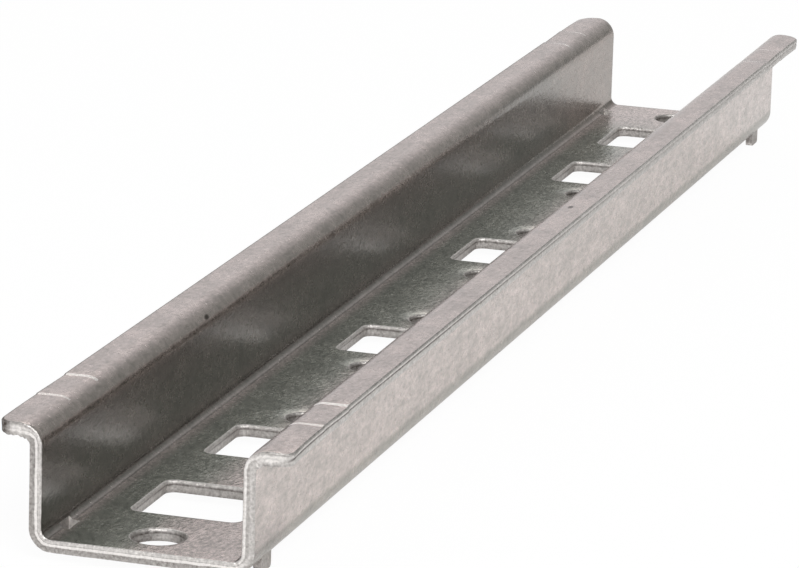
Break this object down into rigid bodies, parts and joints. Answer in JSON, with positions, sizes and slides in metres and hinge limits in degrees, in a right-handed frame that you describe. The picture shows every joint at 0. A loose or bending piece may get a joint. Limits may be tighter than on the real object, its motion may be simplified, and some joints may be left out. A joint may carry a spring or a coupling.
{
  "type": "din rail",
  "caption": "Short length of galvanised steel top-hat mounting rail with punched rectangular and round holes and lanced tabs.",
  "frame": {"origin": "middle of the outside of the floor, the rail's back, on its length and width", "axes": "+X along the rail, +Y across it, +Z out of the open side of the channel, away from the panel"},
  "size_m": [0.248, 0.035, 0.0161],
  "materials": {
    "galvanised_steel": "hot-dip galvanised sheet with a fine spangle, bright at the sheared ends"
  },
  "bodies": {
    "root": {"din_rail": "galvanised_steel"}
  },
  "joints": []
}
